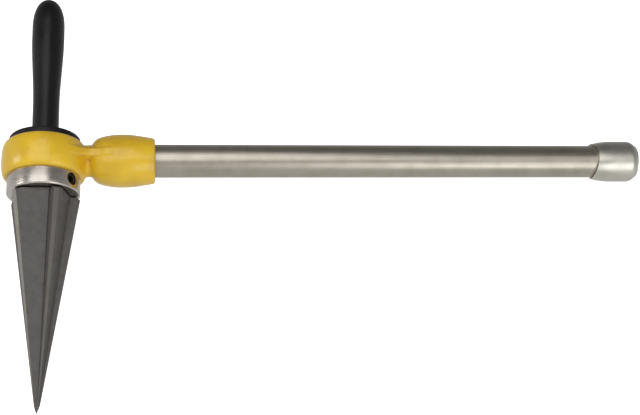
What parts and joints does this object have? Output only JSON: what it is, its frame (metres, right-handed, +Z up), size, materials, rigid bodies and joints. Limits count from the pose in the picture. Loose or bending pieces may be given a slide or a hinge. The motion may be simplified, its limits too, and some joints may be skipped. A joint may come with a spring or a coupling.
{
  "type": "ratcheting pipe reamer",
  "caption": "Hand ratchet pipe reamer: long tapered straight-fluted cutter below a cast ratchet head, revolving feed grip above, pipe handle out to one side.",
  "frame": {"origin": "centre of the footprint, on the surface that the tool lies on", "axes": "+X along the handle towards its end cap, +Y towards the feed grip, +Z up from the surface. The tool lies tilted on its ring, cutter point and end cap, so the cutter's axis points about 9 degrees down at its point, and the handle's axis about 2 degrees down at its cap"},
  "size_m": [0.5238, 0.3446, 0.0677],
  "materials": {
    "yellow_paint": "gloss, slightly orange-peeled on cast iron",
    "pipe_steel": "satin, lengthwise drawn",
    "cap_metal": "bright satin",
    "collar_steel": "fine turned satin",
    "cutter_steel": "dark ground tool steel",
    "dark_oxide": "black oxide",
    "bare_steel": "machined",
    "black_plastic": "smooth moulded, half gloss"
  },
  "bodies": {
    "handle": {"ratchet_head": "yellow_paint", "handle_tube": "pipe_steel", "handle_end_cap": "cap_metal", "spring_seat": "bare_steel", "pawl_spring": "bare_steel", "thrust_washer": "bare_steel", "cover_plate": "dark_oxide", "cover_screw_1": "dark_oxide", "cover_screw_2": "dark_oxide", "cover_screw_3": "dark_oxide"},
    "pawl": {"pawl": "bare_steel"},
    "reamer": {"drive_collar": "collar_steel", "reamer_cutter": "cutter_steel", "set_screw_1": "dark_oxide", "set_screw_2": "dark_oxide", "ratchet_gear": "bare_steel", "gear_key": "bare_steel", "gear_snap_ring": "bare_steel", "feed_spindle": "bare_steel", "grip_snap_ring": "bare_steel"},
    "grip": {"feed_grip": "black_plastic"}
  },
  "joints": [
    {"name": "reamer_spin", "type": "hinge", "parent": "handle", "child": "reamer", "pos_m": [-0.22855, 0.0282, 0.03414], "axis": [0.0029, 0.9869, 0.1616], "continuous": true},
    {"name": "grip_spin", "type": "hinge", "parent": "reamer", "child": "grip", "pos_m": [-0.2285, 0.04646, 0.03713], "axis": [0.0029, 0.9869, 0.1616], "continuous": true},
    {"name": "pawl_slide", "type": "slide", "parent": "handle", "child": "pawl", "axis": [0.9994, 0.0029, -0.0356], "range_m": [0, 0.003], "stiffness_N_per_m": 900, "deforming": ["pawl_spring"]}
  ]
}
